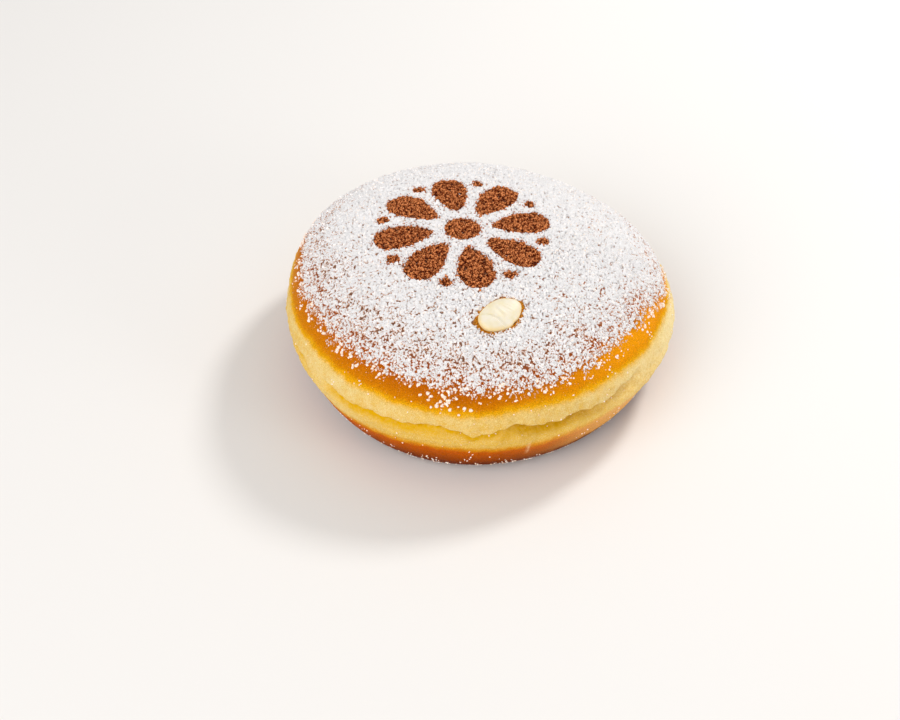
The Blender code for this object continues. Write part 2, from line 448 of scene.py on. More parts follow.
def around_hole(points):
    """Distance from the hole's rim, negative inside it, and the place along and across the oval."""
    away = points - cream_middle
    u = away @ cream_length
    v = away @ cream_width
    half_width = CREAM_HALF_WIDTH * (1 - CREAM_POINT * np.clip(-u / CREAM_HALF_LENGTH, 0, 1))
    oval = np.hypot(u / CREAM_HALF_LENGTH, v / half_width)
    far = np.abs(away @ cream_out) > 8 * MM
    return np.where(far, 1.0, (oval - 1) * 0.5 * (CREAM_HALF_LENGTH + CREAM_HALF_WIDTH)), u, v


# %% [markdown]
# The sugar reaches down to a wavering line on the amber edge, given by its height in
# millimetres at a few directions. Both the dough's colours and the sugar need it.

# %% The sugar's edge
EDGE_ANGLES = (12, 30, 80, 130, 178, 200, 222, 246, 262, 272, 284, 294, 306, 326, 342, 355)
EDGE_HEIGHTS = (
    22.4, 23.6, 25.0, 25.4, 26.0, 27.1, 27.0, 26.3, 25.8, 25.2, 25.3, 24.8, 25.5, 26.5, 25.9, 23.4,
)


def edge_height(angle):
    """The height where half of the crust is bare, by angle."""
    level = np.interp(np.degrees(angle) % 360, EDGE_ANGLES, EDGE_HEIGHTS, period=360)
    return MM * (level + 0.2 * np.sin(17 * angle + 1) + 0.2 * np.sin(29 * angle))


# %% [markdown]
# The pale band carries the most rings, because its fluffy crumb and its folds show from
# close by. The dome has few, since the sugar covers it, apart from the ones round the hole.

# %% Rings of the dough
RING_POINTS = 664
FOOT_RINGS = 7
SIDE_RINGS = ((0, 8, 0.8), (8, 13, 0.42), (13, 18.5, 0.22), (18.5, 26, 0.42))  # heights and spacing in mm

hole_share = math.hypot(CREAM_X - TOP_OFFSET[0], CREAM_Y - TOP_OFFSET[1]) / (WIDTH / 2)
hole_rise = (1 - hole_share**DOME_SQUARENESS) ** (1 / DOME_RISE)
hole_length = length_at(WAIST_HEIGHT + hole_rise * (HEIGHT - WAIST_HEIGHT))
near_hole = (hole_length - 7.5 * MM, hole_length + 7.0 * MM)
ring_lengths = np.concatenate(
    [
        np.linspace(0, length_at(0.0), FOOT_RINGS, endpoint=False)[1:],
        *(np.arange(length_at(low * MM), length_at(high * MM), gap * MM) for low, high, gap in SIDE_RINGS),
        np.arange(length_at(26 * MM), near_hole[0], 0.9 * MM),
        np.arange(near_hole[0], near_hole[1], 0.40 * MM),
        np.arange(near_hole[1], TOP_LENGTH - 0.5 * MM, 1.5 * MM),
    ]
)
ring_share, ring_height = profile_at(ring_lengths)
ring_angle = np.arange(RING_POINTS) * 2 * math.pi / RING_POINTS
rings = np.broadcast_arrays(ring_share[:, None], ring_height[:, None], ring_angle)
grid_share, grid_height, grid_angle = (np.array(values) for values in rings)
grid = skin(grid_angle, grid_share, grid_height, droop_share=1.0)


def grid_normals(grid):
    """Outward normals of a grid of rings, from each point's neighbours."""
    around = np.roll(grid, -1, 1) - np.roll(grid, 1, 1)
    upward = np.gradient(grid, axis=0)
    out = np.cross(around, upward)
    return out / np.maximum(np.linalg.norm(out, axis=-1, keepdims=True), 1e-12)


normals = grid_normals(grid)
print("dough rings:", len(ring_share), "points:", grid_angle.size)

# %% [markdown]
# The crumb of the band is a soft fluff a few tenths of a millimetre deep, coarser
# where the dough stretched. The crusts above and below are nearly smooth, with faint
# blisters. The band's own edges wander up and down, as the doughnut rolled in the oil.

# %% Crumb, crust and hole relief
HOLE_DEPTH = 2.6 * MM
HOLE_LIP = 0.22 * MM

flat_points = grid.reshape(-1, 3)
flat_angle = grid_angle.reshape(-1)
flat_height = grid_height.reshape(-1)
upper = smooth_step(flat_height, 15 * MM, 19 * MM)
wander = upper * (0.45 + 0.8 * facing(flat_angle, 266, 14) - 0.7 * facing(flat_angle, 212, 20))
lower = 0.4 * facing(flat_angle, 275, 9) + 1.6 * facing(flat_angle, 222, 15)
lower = lower - 0.9 * facing(flat_angle, 308, 16)
wander = wander + (1 - upper) * lower
band_height = flat_height + MM * (wander + 0.4 * rough(flat_points, 9 * MM, 5.0))
band_height = band_height + 0.5 * MM * rough(flat_points, 2.6 * MM, 9.0)
in_band = smooth_step(band_height, 9.5 * MM, 12 * MM)
in_band = in_band * (1 - smooth_step(band_height, 21.5 * MM, 24 * MM))
fluff = 0.19 * rough(flat_points, 1.7 * MM, 1.0) + 0.20 * rough(flat_points, 0.85 * MM, 2.0)
stretch = 0.16 * rough(flat_points * [1, 1, 2.2], 5.0 * MM, 3.0)
stretch = stretch + 0.10 * rough(flat_points * [1, 1, 4.0], 2.8 * MM, 3.5)
blisters = 0.05 * rough(flat_points, 2.4 * MM, 4.0)
resting = smooth_step(flat_height, 0.2 * MM, 2 * MM)
relief = MM * resting * (in_band * (fluff + stretch) + (1 - in_band) * blisters)
rim = around_hole(flat_points)[0]
ragged = 0.30 * MM * rough(flat_points, 1.1 * MM, 6.0)
pressed = -HOLE_DEPTH * (1 - smooth_step(rim + ragged, -1.1 * MM, 0.0))
lip = HOLE_LIP * hump(rim + ragged - 0.35 * MM, 0.45 * MM)
flat_points = flat_points + normals.reshape(-1, 3) * (relief + pressed + lip)[:, None]

foot_middle = skin(np.zeros(1), np.zeros(1), np.zeros(1))
top_middle = skin(np.zeros(1), np.zeros(1), np.full(1, HEIGHT))
dough_points = np.concatenate([flat_points, foot_middle, top_middle])

# %% [markdown]
# Each point keeps what the colours need: its height on the band, the share of its fold's painted shade,
# its distance from the hole, where the crust or the crumb is lighter, warmer, golden or dusted, and the
# painted light on the crumb of both flanks.

# %% The dough with its stored shares
# The folds' painted shade grows fainter past the middle of the right fold.
fainter = 1 - 0.75 * smooth_step(turned_from(flat_angle, 303), -13, 13)
# Painted light: the crumb on both flanks is painted lighter, as if more light fell there.
painted_flank_light = 0.35 * facing(flat_angle, 225, 12) + 0.9 * facing(flat_angle, 350, 15)
pale_side = smooth_step(np.cos(flat_angle - math.radians(335)), 0.70, 0.98)
dusted = 0.50 * facing(flat_angle, 350, 22) + 0.35 * facing(flat_angle, 322, 16)
dusted = dusted * smooth_step(flat_height, 8 * MM, 15 * MM)
dusted = dusted * (1 - smooth_step(flat_height, 20 * MM, 22 * MM))
# A fine crack low on the side holds some sugar.
crack = facing(flat_angle, 284, 0.45) * smooth_step(flat_height, 6.4 * MM, 8 * MM)
dusted = np.maximum(dusted, 0.55 * crack * (1 - smooth_step(flat_height, 11.5 * MM, 13.2 * MM)))
at_poles = {"band": (0, HEIGHT / MM), "rim": (50, 50), "sugared": (-50, 10)}
stored = {
    "band": band_height / MM,
    "fold": fainter * folds_at(flat_angle, flat_height)[2],
    "fold_shade_lighter": 1 - facing(flat_angle, 292, 24),
    "rim": rim / MM,
    "pale": pale_side + 0.2 * facing(flat_angle, 296, 12),
    "warmer": facing(flat_angle, 270, 26),
    "flank_light": painted_flank_light,
    "golden": facing(flat_angle, 330, 32),
    "dusted": dusted,
    "sugared": (flat_height - edge_height(flat_angle)) / MM,
}
number = np.arange(grid_angle.size).reshape(grid_angle.shape)
dough = mesh_piece(
    "dough_skin",
    dough_points,
    closed_rings(number, number.size, number.size + 1),
    {name: np.append(share, at_poles.get(name, (0, 0))) for name, share in stored.items()},
)
print("dough faces:", len(dough.data.polygons))

# %% [markdown]
# Frying browns the top and the foot and leaves the band pale. A ramp over the
# band's height paints that, from the dark lower crust through yellow crumb to the
# amber and brown of the top. The folds' grooves carry painted shade, a deeper yellow,
# and the crumb of both flanks carries painted light. Fine specks break up every colour,
# and a little subsurface light keeps the crumb soft.

# %% Material of the dough
def attribute(name):
    return add("ShaderNodeAttribute", attribute_name=name).outputs["Fac"]


def ramp(value, *stops):
    """A colour ramp from (position, colour) stops."""
    node = add("ShaderNodeValToRGB", {"Fac": value})
    elements = node.color_ramp.elements
    while len(elements) < len(stops):
        elements.new(0.5)
    for element, (place, colour) in zip(elements, sorted(stops)):
        element.position = place
        element.color = colour
    return node.outputs["Color"]


def mix(share, first, second):
    return add("ShaderNodeMix", {0: share, 6: first, 7: second}, data_type="RGBA").outputs[2]


def speckle(size, detail=3.0, roughness=0.6):
    """Noise in the object's own coordinates."""
    place = add("ShaderNodeTexCoord").outputs["Object"]
    return soft_noise(place, size, detail, roughness)


def share_ramp(value, *stops):
    """A ramp from (position, share) stops, for a share from 0 to 1."""
    return ramp(value, *((place, (share, share, share, 1)) for place, share in stops))


def soften(shader, weight, radius, scale):
    """Lets light travel a little way under the surface."""
    shader.inputs["Subsurface Weight"].default_value = weight
    shader.inputs["Subsurface Radius"].default_value = radius
    shader.inputs["Subsurface Scale"].default_value = scale


def paint(shader, colour):
    Bench.tree.links.new(colour, shader.inputs["Base Color"])


def bump(shader, height, distance, strength=1.0):
    node = add("ShaderNodeBump", {"Height": height, "Distance": distance, "Strength": strength})
    Bench.tree.links.new(node.outputs["Normal"], shader.inputs["Normal"])


LOWER_CRUST_DARK = srgb(124, 50, 2)
LOWER_CRUST = srgb(212, 98, 0)
LOWER_CRUST_PALE = srgb(250, 182, 96)
LOWER_EDGE = srgb(244, 168, 24)
CRUMB_LOW = srgb(250, 204, 88)
CRUMB = srgb(250, 218, 142)
CRUMB_DEEP = srgb(242, 194, 84)
# Painted shade of the folds' grooves, the deeper one on the right fold.
FOLD_SHADE_DEEP = srgb(214, 158, 0)
FOLD_SHADE_LIGHT = srgb(240, 184, 0)
AMBER = srgb(248, 182, 14)
CRUMB_LIGHT = srgb(255, 236, 176)
CRUMB_GOLD = srgb(236, 182, 76)
RIM_GOLD = srgb(216, 142, 40)
RIM_DARK = srgb(128, 64, 4)
TOP_ORANGE = srgb(224, 136, 2)
TOP_DEEP = srgb(208, 110, 4)
TOP_GOLD = srgb(252, 162, 8)
FRONT_CRUST = srgb(188, 90, 0)
TOP_RUST = srgb(174, 80, 14)
TOP_BROWN_SHADED = srgb(136, 92, 68)
DUST = srgb(255, 234, 182)

dough_material, shader = new_material("fried_dough", 0.5, 0.02)
band = maths("DIVIDE", attribute("band"), 40.0)
wander = maths("SUBTRACT", speckle(1.1 * MM, 2.5), 0.5)
band = maths("ADD", band, times(wander, 0.035))
baked = ramp(
    band,
    (0.0, LOWER_CRUST_DARK),
    (0.09, LOWER_CRUST_DARK),
    (0.235, LOWER_CRUST),
    (0.280, LOWER_EDGE),
    (0.315, CRUMB_LOW),
    (0.40, CRUMB_LOW),
    (0.46, CRUMB),
    (0.522, CRUMB),
    (0.553, AMBER),
    (0.590, TOP_ORANGE),
    (0.67, TOP_DEEP),
    (1.0, TOP_DEEP),
)

# The crusts: darker at the front, golden at the right, more brown deep under the sugar, where painted shade
# of the holes between the clumps darkens it, pale below on the right.
crusty = share_ramp(band, (0.58, 0), (0.63, 0.6))
baked = mix(times(crusty, attribute("warmer")), baked, FRONT_CRUST)
on_top = share_ramp(band, (0.56, 0), (0.60, 1))
baked = mix(times(on_top, attribute("golden")), baked, TOP_GOLD)
sugared = times_plus(attribute("sugared"), 0.1, 0.5)
baked = mix(share_ramp(sugared, (0.45, 0), (0.72, 1)), baked, TOP_RUST)
# Deep under the sugar the crust is darker and greyer: partly its own brown, partly painted shade of the
# holes between the clumps.
browner_shaded = share_ramp(sugared, (0.70, 0), (1.0, 1))
browner_shaded = times(browner_shaded, times_plus(attribute("golden"), -0.6, 1.0))
baked = mix(browner_shaded, baked, TOP_BROWN_SHADED)
below = share_ramp(band, (0.08, 0), (0.13, 1), (0.27, 1), (0.31, 0))
baked = mix(times(attribute("pale"), below), baked, LOWER_CRUST_PALE)

# The crumb: broad patches, a warmer front, painted light on both flanks, and specks of gold and of light.
in_crumb = share_ramp(band, (0.27, 0), (0.33, 1), (0.50, 1), (0.56, 0))
fine = speckle(0.26 * MM, 2.0, 0.8)
# The crumb of both flanks gets painted light.
for share, colour in (
    (share_ramp(speckle(3.0 * MM, 5.0), (0.40, 0), (0.62, 0.9)), CRUMB_DEEP),
    (times(attribute("warmer"), 0.35), CRUMB_DEEP),
    (attribute("flank_light"), CRUMB_LIGHT),
    (share_ramp(fine, (0.36, 0.7), (0.50, 0)), CRUMB_GOLD),
    (share_ramp(fine, (0.52, 0), (0.64, 0.7)), CRUMB_LIGHT),
):
    baked = mix(times(in_crumb, share), baked, colour)
# Painted shade in the folds' grooves below their lips.
fold_shade_share = times(attribute("fold"), times_plus(wander, 1.2, 0.92))
fold_shade_colour = mix(attribute("fold_shade_lighter"), FOLD_SHADE_DEEP, FOLD_SHADE_LIGHT)
baked = mix(times(fold_shade_share, in_crumb), baked, fold_shade_colour)

# Freckles on the crust, the torn rim of the hole, and the finest dust of sugar.
on_crust = maths("SUBTRACT", 1.0, in_crumb)
freckles = times(maths("SUBTRACT", fine, 0.5), times(on_crust, 1.4))
baked = vector_maths("SCALE", baked, maths("ADD", freckles, 0.83))
from_rim = maths("DIVIDE", attribute("rim"), 10.0)
torn_rim = share_ramp(from_rim, (0.0, 1), (0.07, 1), (0.16, 0))
baked = mix(torn_rim, baked, ramp(fine, (0.42, RIM_DARK), (0.56, RIM_GOLD)))
specks = share_ramp(speckle(0.6 * MM, 3.0, 0.75), (0.42, 0.3), (0.60, 1))
dust = times(attribute("dusted"), specks)
stray_specks = share_ramp(speckle(0.38 * MM, 2.0, 0.7), (0.67, 0), (0.73, 0.4))
above_foot = share_ramp(band, (0.28, 0), (0.34, 1))
dust = maths("MAXIMUM", dust, times(stray_specks, above_foot))
paint(shader, mix(dust, baked, DUST))
soften(shader, 0.12, (1.0, 0.6, 0.2), 1.2 * MM)
bump(shader, speckle(0.32 * MM, 3.0, 0.7), 0.22 * MM, 0.9)
dough.data.materials.append(dough_material)


# %% [markdown]
# ## The cream
#
# The dab is soft pastry cream that was piped into the hole and folded over itself as the nozzle left.
# It is a grid over a squashed ball, with one fold laid over the other and fine ridges along the fold.

# %% The dab of cream
CREAM_PROUD = 1.6 * MM
CREAM_DEPTH = 4.2 * MM
CREAM_OVER = 0.15 * MM  # how far it spreads over the rim of the hole
CREAM_RINGS = 90
CREAM_AROUND = 150

polar = np.linspace(0, math.pi, CREAM_RINGS + 2)[1:-1]
turn, polar = np.meshgrid(np.arange(CREAM_AROUND) * 2 * math.pi / CREAM_AROUND, polar)
px, py, pz = np.sin(polar) * np.cos(turn), np.sin(polar) * np.sin(turn), np.cos(polar)


def cream_form(px, py, pz):
    """Points of the dab, for points on a ball."""
    turn = np.arctan2(py, px)
    outline = 1 + 0.020 * np.sin(3 * turn + 0.6) + 0.016 * np.sin(5 * turn + 2.0)
    outline = outline - 0.07 * facing(turn, 288, 9)
    u = px * (CREAM_HALF_LENGTH + CREAM_OVER) * outline
    v = py * (CREAM_HALF_WIDTH + CREAM_OVER) * outline * (1 - CREAM_POINT * np.clip(-px, 0, None))
    top = np.clip(pz, 0, 1)
    um, vm = u / MM, v / MM

    # The upper fold ends along a curved line, in a rounded edge with a groove below it.
    across = np.clip(vm + 3.45, 0, None)
    line = um + 1.45 + 0.17 * across + 0.012 * across**3
    step_up = -0.24 * np.tanh(line / 0.22) + 0.14 * hump(line + 0.3, 0.35) - 0.18 * hump(line - 0.35, 0.40)

    # A ridge runs beside it, and fine ripples cross the far end.
    beside = um - 0.46 + 0.15 * vm
    along = smooth_step(vm, -1.5, -0.4) * (1 - smooth_step(vm, 1.4, 2.4))
    ridge = along * (0.20 * hump(beside, 0.32) - 0.14 * hump(beside + 0.6, 0.4))
    ripples = 0.06 * np.sin(6.0 * um + 3.0 * vm) * np.exp(-((um - 2.2) ** 2) - ((vm - 0.2) ** 2) / 1.4)
    folds = MM * (step_up + ridge + ripples) * smooth_step(top, 0.0, 0.55)
    w = np.where(pz > 0, CREAM_PROUD * top**0.8 + folds, pz * CREAM_DEPTH)
    u, v, w = u[..., None], v[..., None], w[..., None]
    return cream_middle + u * cream_length + v * cream_width + w * cream_out


cream_grid = cream_form(px, py, pz)
cream_poles = cream_form(np.zeros(2), np.zeros(2), np.array([1.0, -1.0]))
cream_points = np.concatenate([cream_grid.reshape(-1, 3), cream_poles])
soft = MM * (0.03 * rough(cream_points, 1.0 * MM, 7.0) + 0.12 * rough(cream_points, 3.0 * MM, 8.0))
cream_points = cream_points + soft[:, None] * cream_out
number = np.arange(px.size).reshape(px.shape)[::-1]
cream = mesh_piece(
    "cream_dab",
    cream_points,
    closed_rings(number, px.size + 1, px.size),
    {"inside": np.append(np.where(pz > 0, 1 - np.hypot(px, py), 0), [1, 0])},
)

CREAM_PALE = srgb(230, 222, 204)
CREAM_WARM = srgb(225, 213, 177)
CREAM_EDGE = srgb(238, 205, 132)
cream_material, shader = new_material("pastry_cream", 0.42, 0.35)
tint = ramp(speckle(2.4 * MM, 2.0), (0.35, CREAM_PALE), (0.7, CREAM_WARM))
edge = share_ramp(attribute("inside"), (0.0, 0.7), (0.08, 0.2), (0.18, 0))
paint(shader, mix(edge, tint, CREAM_EDGE))
soften(shader, 0.25, (1.0, 0.8, 0.5), 1.0 * MM)
bump(shader, speckle(0.6 * MM, 2.0), 0.02 * MM, 0.5)
cream.data.materials.append(cream_material)
print("cream faces:", len(cream.data.polygons))

# %% [markdown]
# ## The powders
#
# Sugar and cocoa are dusted from above, so they lie thick on the top and thin out
# towards the rim. Each is a patch of the dome's own skin, lifted by clumps and
# grains. Where the lift is below zero the patch sinks into the dough, and the
# crust shows through: that gives the many small bare spots their ragged edges.

# %% A patch of the dome
def dome_patch(spacing, keep):
    """An even grid laid over the dome; keep says which of its points stay."""
    reach = TOP_LENGTH - length_at(20 * MM)
    count = int(2 * reach / spacing) + 1
    across = (np.arange(count) - (count - 1) / 2) * spacing
    gx, gy = np.meshgrid(across, across)
    away = np.hypot(gx, gy)
    inside = away < reach
    angle = np.arctan2(gy, gx)[inside]
    share, height = profile_at(TOP_LENGTH - away[inside])
    points = skin(angle, share, height)
    kept = keep(points, angle, height)
    number = np.full(gx.shape, -1)
    rows_in, columns_in = np.nonzero(inside)
    number[rows_in[kept], columns_in[kept]] = np.arange(kept.sum())
    cells = [number[:-1, :-1], number[:-1, 1:], number[1:, 1:], number[1:, :-1]]
    cells = np.stack(cells, -1).reshape(-1, 4)
    cells = cells[(cells >= 0).all(1)]
    return points[kept], cells, angle[kept], height[kept]


def bare_rim(u, v):
    """Width of the bare crust round the cream, by the direction from its middle."""
    turn = np.arctan2(v, u)
    width = -0.05 + 1.4 * facing(turn, 162, 10) + 0.9 * facing(turn, 356, 13)
    return MM * (width + 0.6 * facing(turn, 55, 30))


RELIEF_SPREAD = 0.20 * MM
DRIFTS_RUN = np.array([0.57, -0.82, 0.0])  # the direction in which the drifts are drawn out


def sugar_cover(points, angle, height):
    """Mean thickness of the sugar, negative where most of the crust is bare."""
    softer = 1 + 0.15 * facing(angle, 206, 26) - 0.3 * facing(angle, 340, 24)
    above = (height - edge_height(angle)) / MM / softer
    deep = np.where(above > 0, 0.06 * above, 0.30 * above) + 0.5 * smooth_step(above, 4, 10)
    cover = RELIEF_SPREAD * (0.9 * np.tanh(above / 1.2) + deep)
    drawn_out = points - 0.7 * (points @ DRIFTS_RUN)[:, None] * DRIFTS_RUN
    cover = cover + 0.09 * MM * rough(points, 6 * MM, 11.0) + 0.06 * MM * rough(points, 2.4 * MM, 12.0)
    cover = cover + 0.09 * MM * rough(drawn_out, 0.9 * MM, 14.0)
    rim, u, v = around_hole(points)
    cover = cover * (0.35 + 0.65 * smooth_step(rim, 0.0, 2.2 * MM))
    bare = bare_rim(u, v) + 0.35 * MM * rough(points, 1.0 * MM, 13.0)
    return cover - 0.9 * MM * (1 - smooth_step(rim, bare, bare + 0.35 * MM))


# %% [markdown]
# ### The stencilled flower
#
# The cocoa is sifted through a stencil in the shape of a plain flower: petals round a small disc, with
# a dot between each two petals. A rule gives every point its distance inside the nearest opening.

# %% The stencil
FLOWER_X = -5.2 * MM
FLOWER_Y = 2.6 * MM
FLOWER_RADIUS = 22.5 * MM
PETALS = 8
PETAL_START = 7.5 * MM
PETAL_HALF_WIDTH = 4.3 * MM
DISC_RADIUS = 4.6 * MM
DOT_RING = 20.6 * MM
DOT_RADIUS = 1.5 * MM
FLOWER_TURN = 0.2


def stencil_distance(points):
    """How far inside the stencil's openings a point is, negative outside."""
    x = points[:, 0] - FLOWER_X
    y = points[:, 1] - FLOWER_Y
    away = np.hypot(x, y)
    slice_angle = 2 * math.pi / PETALS
    turn = (np.arctan2(y, x) + FLOWER_TURN) % slice_angle - slice_angle / 2
    along = away * np.cos(turn)
    across = np.abs(away * np.sin(turn))
    middle = (PETAL_START + FLOWER_RADIUS) / 2
    half = (FLOWER_RADIUS - PETAL_START) / 2
    t = (along - middle) / half
    width = PETAL_HALF_WIDTH * np.sqrt(np.clip(1 - t * t, 0, 1)) * (1 + 0.35 * t)
    petal = np.minimum(width - across, half - np.abs(along - middle))
    disc = DISC_RADIUS - away
    shifted = (np.arctan2(y, x) + FLOWER_TURN + slice_angle / 2) % slice_angle - slice_angle / 2
    dot = DOT_RADIUS - np.hypot(away * np.cos(shifted) - DOT_RING, away * np.sin(shifted))
    return np.maximum(np.maximum(petal, disc), dot)


# %% [markdown]
# ### Lifting a patch into powder
#
# One Geometry Nodes tree serves both powders. It reads the mean thickness from the patch
# and adds slow drifts from noise, then rounded clumps and pointed grains in Voronoi cells.
# It moves the points along the skin's normal and drops the faces that end up buried.

# %% Geometry Nodes for a powder coat
def geometry_tree(name, sizes):
    """An empty tree, taken in hand, with inputs for geometry, each size and a material."""
    Bench.tree = tree = bpy.data.node_groups.new(name, "GeometryNodeTree")
    tree.is_modifier = True
    tree.interface.new_socket("Geometry", in_out="INPUT", socket_type="NodeSocketGeometry")
    for size in sizes:
        tree.interface.new_socket(size, in_out="INPUT", socket_type="NodeSocketFloat")
    tree.interface.new_socket("Material", in_out="INPUT", socket_type="NodeSocketMaterial")
    tree.interface.new_socket("Geometry", in_out="OUTPUT", socket_type="NodeSocketGeometry")
    return tree, add("NodeGroupInput").outputs


def finish_tree(geometry, material):
    real = add("GeometryNodeRealizeInstances", {"Geometry": geometry}).outputs[0]
    smooth = add("GeometryNodeSetShadeSmooth", {"Geometry": real, "Shade Smooth": True}).outputs[0]
    painted = add("GeometryNodeSetMaterial", {"Geometry": smooth, "Material": material}).outputs[0]
    add("NodeGroupOutput", {"Geometry": painted})


def named(name):
    node = add("GeometryNodeInputNamedAttribute", {"Name": name}, data_type="FLOAT")
    return node.outputs["Attribute"]


def within(value):
    """A value held between 0 and 1."""
    return maths("MINIMUM", maths("MAXIMUM", value, 0.0), 1.0)


def wavering(place, size):
    """Noise in three directions, about -0.5 to 0.5."""
    push = soft_noise(place, size, 1.0, output="Color")
    return vector_maths("SUBTRACT", push, (0.5, 0.5, 0.5))


RELIEF_SIZES = ("Clump size", "Clump height", "Grain size", "Grain height", "Drift height")
DEEPEST = -0.4 * MM  # a buried point goes no further down
BURIED = -0.07 * MM  # a face below this is dropped


def powder_tree():
    tree, given = geometry_tree("powder_coat", (*RELIEF_SIZES, "From y", "To y"))
    place = add("GeometryNodeInputPosition").outputs[0]
    drift = vector_maths("SCALE", wavering(place, 1.1 * MM), 0.9 * MM)
    warped = vector_maths("ADD", place, drift)

    def bumps(size, height, power, steepness, middle):
        """Bumps in Voronoi cells: cones for a power of 1, round domes for a power of 2."""
        cells = {"Vector": warped, "Scale": maths("DIVIDE", 1.0, given[size])}
        away = add("ShaderNodeTexVoronoi", cells, feature="F1").outputs["Distance"]
        form = times_plus(maths("POWER", away, power), -steepness, middle)
        return times(form, given[height])

    # Clumps stand highest at the coat's edge and where it is heaped, and grains where it is thick.
    cover = named("cover")
    thick = within(times_plus(cover, 2.5 / MM, 0.6))
    heaped = within(times_plus(cover, 2.5 / MM, -0.75))
    taller = times_plus(thick, -0.3, times_plus(heaped, 0.6, 1.25))
    clumps = times(bumps("Clump size", "Clump height", 2.0, 1.3, 0.35), taller)
    sharper = times_plus(thick, 0.6, 0.4)
    grains = times(bumps("Grain size", "Grain height", 1.0, 1.0, 0.46), sharper)
    relief = maths("ADD", clumps, grains)
    heap = maths("SUBTRACT", soft_noise(place, 2.3 * MM, 2.0), 0.5)
    heap = times(heap, given["Drift height"])
    lift = maths("ADD", cover, maths("ADD", heap, relief))

    kept = given["Geometry"]
    for name, value in (("lift", lift), ("relief", relief)):
        store = {"Geometry": kept, "Name": name, "Value": value}
        node = add("GeometryNodeStoreNamedAttribute", store, data_type="FLOAT", domain="POINT")
        kept = node.outputs[0]
    lifted = named("lift")
    normal = add("GeometryNodeInputNormal").outputs[0]
    offset = vector_maths("SCALE", normal, maths("MAXIMUM", lifted, DEEPEST))
    moved = add("GeometryNodeSetPosition", {"Geometry": kept, "Offset": offset}).outputs[0]

    row = add("ShaderNodeSeparateXYZ", {0: place}).outputs[1]
    before = maths("LESS_THAN", row, given["From y"])
    outside = maths("ADD", before, maths("GREATER_THAN", row, given["To y"]))
    buried = maths("LESS_THAN", lifted, BURIED)
    dropped = maths("GREATER_THAN", maths("ADD", outside, buried), 0.5)
    trimmed = {"Geometry": moved, "Selection": dropped}
    trimmed = add("GeometryNodeDeleteGeometry", trimmed, domain="FACE").outputs[0]
    finish_tree(trimmed, given["Material"])
    return tree


def grow(piece, tree, values, name):
    """Runs a tree on a piece and puts a plain mesh object in its place."""
    modifier = piece.modifiers.new("grow", "NODES")
    modifier.node_group = tree
    for item in tree.interface.items_tree:
        if item.in_out == "INPUT" and item.name in values:
            modifier[item.identifier] = values[item.name]
    graph = bpy.context.evaluated_depsgraph_get()
    mesh = bpy.data.meshes.new_from_object(piece.evaluated_get(graph))
    bpy.data.objects.remove(piece)
    mesh.name = name
    mesh.calc_loop_triangles()
    print(name, "triangles:", len(mesh.loop_triangles))
    return in_scene(name, mesh)


# %% [markdown]
# Sugar is close to pure white. Its shade comes mostly from the relief, and the material paints in the
# shade that is finer: a grey speckle, grey hollows between the clumps, and brown crust in the crevices,
# darkened by painted shade. Where the coat is thin it adds pits drawn out along the drifts.

# %% Materials of the powders
SUGAR_WHITE = srgb(255, 253, 254)
SUGAR_THIN = srgb(220, 154, 98)
SUGAR_SHADE = srgb(232, 229, 228)
SUGAR_HOLLOW_SHADE = srgb(200, 198, 200)
SUGAR_CREVICE_SHADE = srgb(172, 128, 100)
SUGAR_PIT = srgb(172, 96, 56)
SUGAR_WARM_SHADE = srgb(246, 230, 214)
SUGAR_BOUNCE_SHADE = srgb(248, 210, 168)
sugar_material, shader = new_material("powdered_sugar", 0.85, 0.2)
fine = speckle(0.22 * MM, 2.0, 0.8)
# Painted shade of grains finer than the mesh.
tint = ramp(fine, (0.36, SUGAR_SHADE), (0.52, SUGAR_WHITE))
# Painted shade: grey where the relief is low, between the clumps.
hollow_shade_depth = times_plus(attribute("relief"), 1 / MM, 0.5)
tint = mix(share_ramp(hollow_shade_depth, (0.14, 0.9), (0.40, 0)), tint, SUGAR_HOLLOW_SHADE)
# Brown crust in the crevices where the coat is thin, darkened by painted shade.
low = times_plus(attribute("relief"), 1 / MM, times_plus(fine, 1.2, -0.26))
low = times_plus(attribute("cover"), 0.9 / MM, low)
tint = mix(share_ramp(low, (0.20, 0.9), (0.36, 0)), tint, SUGAR_CREVICE_SHADE)

place = add("ShaderNodeTexCoord").outputs["Object"]
along = add("ShaderNodeVectorMath", {0: place, 1: DRIFTS_RUN}, operation="DOT_PRODUCT")
back = vector_maths("SCALE", DRIFTS_RUN, times(along.outputs["Value"], -0.6))
pits = soft_noise(vector_maths("ADD", place, back), 0.32 * MM, 0.0)
thinness = share_ramp(times(attribute("cover"), 1 / MM), (0.20, 1), (0.36, 0))
tint = mix(times(share_ramp(pits, (0.29, 1), (0.34, 0)), thinness), tint, SUGAR_PIT)
thin = times_plus(attribute("lift"), 2 / MM, times_plus(fine, 0.5, -0.25))
paint(shader, mix(share_ramp(thin, (0.0, 0.1), (0.30, 1)), SUGAR_THIN, tint))
bump(shader, fine, 0.24 * MM)


def grain_material(name, warm_shade, low, high):
    """White grains of sugar, speckled with painted shade tinted by light bounced from the crust."""
    material, shader = new_material(name, 0.8, 0.2)
    paint(shader, ramp(speckle(0.3 * MM, 2.0, 0.7), (low, warm_shade), (high, SUGAR_WHITE)))
    return material


sugar_grain = grain_material("sugar_grain", SUGAR_WARM_SHADE, 0.36, 0.54)
stray_sugar = grain_material("stray_sugar", SUGAR_BOUNCE_SHADE, 0.38, 0.62)

COCOA_CREVICE_SHADE = srgb(66, 14, 0)
COCOA = srgb(156, 62, 8)
COCOA_HIGHLIGHT = srgb(250, 160, 98)
cocoa_material, shader = new_material("cocoa_powder", 0.8, 0.1)
fine = speckle(0.30 * MM, 2.0, 0.8)
